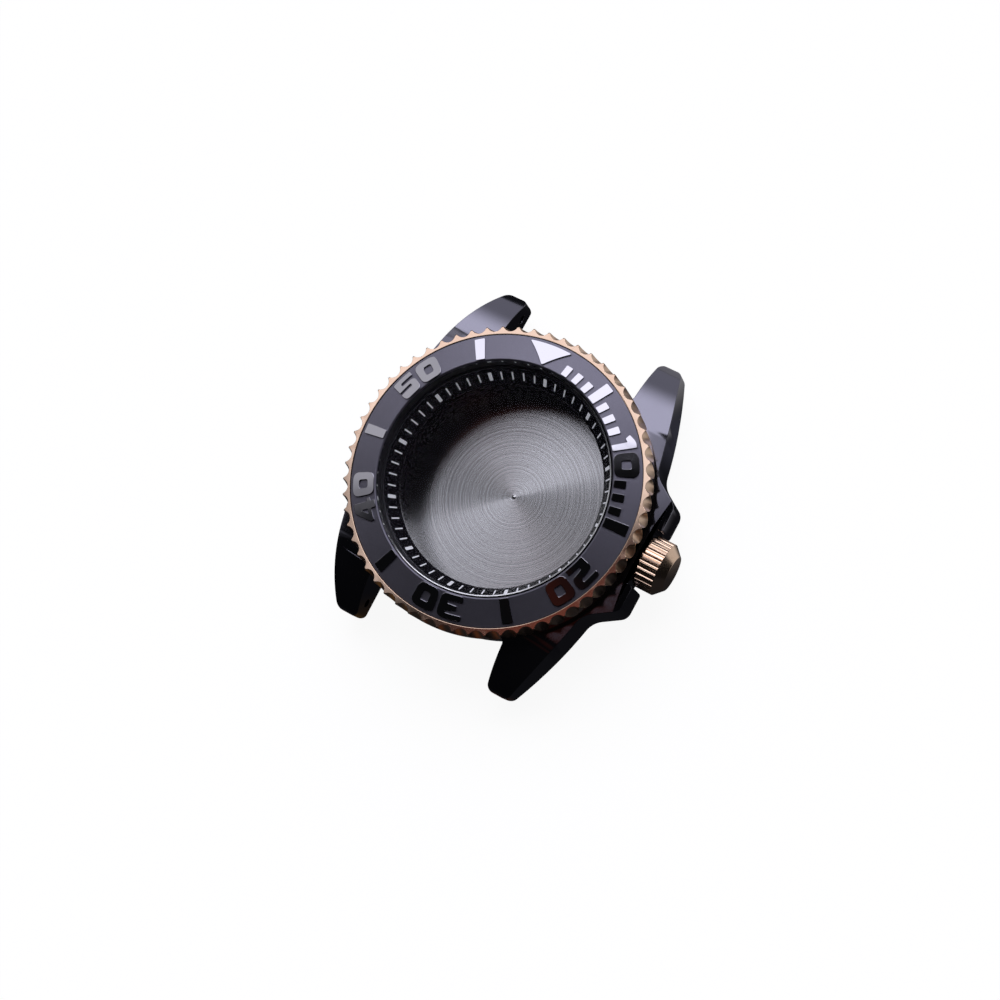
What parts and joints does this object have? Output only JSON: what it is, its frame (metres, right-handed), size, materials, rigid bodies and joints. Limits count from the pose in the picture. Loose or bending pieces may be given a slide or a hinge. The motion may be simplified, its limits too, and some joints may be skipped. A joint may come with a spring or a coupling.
{
  "type": "empty watch case",
  "caption": "Empty diver's watch case with lugs, turning bezel with ridged edge and minute marks, flat crystal, screw-down crown between guards and screw-on back.",
  "frame": {"origin": "Middle of the case back's outer face.", "axes": "+Z out through the crystal, +X along the crown at 3 o'clock, +Y to 12 o'clock."},
  "size_m": [0.0444, 0.0474, 0.0136],
  "materials": {
    "black_case": "glossy black coating on steel",
    "rose_gold": "polished rose-gold coating on steel",
    "dark_insert": "sandblasted dark ceramic with polished marks",
    "clear_crystal": "polished sapphire",
    "black_nylon": "nylon",
    "black_ring": "gloss black with pale marks",
    "turned_steel": "fine turned rings",
    "bare_steel": "machined",
    "spring_steel": "spring temper",
    "black_rubber": "soft",
    "tape": "double-sided tape"
  },
  "bodies": {
    "case": {"mid_case": "black_case", "crystal": "clear_crystal", "crystal_gasket": "black_nylon", "chapter_ring": "black_ring", "crown_tube": "bare_steel", "tube_o_ring": "black_rubber", "click_spring": "spring_steel", "case_back_gasket": "black_rubber"},
    "bezel": {"bezel_ring": "rose_gold", "bezel_insert": "dark_insert", "insert_adhesive_ring": "tape", "bezel_retaining_wire": "spring_steel"},
    "crown_post": {"crown_post": "bare_steel", "crown_spring": "spring_steel"},
    "crown": {"crown_cap": "rose_gold", "crown_retainer": "bare_steel", "crown_gasket": "black_rubber"},
    "case_back": {"case_back": "turned_steel"}
  },
  "joints": [
    {"name": "bezel_turn", "type": "hinge", "parent": "case", "child": "bezel", "pos_m": [0, 0, 0.0105], "axis": [0, 0, 1], "continuous": true, "deforming": ["click_spring"]},
    {"name": "crown_turn", "type": "hinge", "parent": "case", "child": "crown_post", "pos_m": [0.0205, 0, 0.006], "axis": [1, 0, 0], "range_deg": [0, 810]},
    {"name": "crown_rise", "type": "slide", "parent": "crown_post", "child": "crown", "axis": [1, 0, 0], "range_m": [0, 0.0007875], "deforming": ["crown_spring"]},
    {"name": "case_back_lift", "type": "slide", "parent": "case", "child": "case_back", "axis": [0, 0, -1], "range_m": [0, 0.03]}
  ],
  "couplings": [
    {"joint": "crown_turn", "follows": "crown_rise", "rad_per_m": 17952}
  ]
}
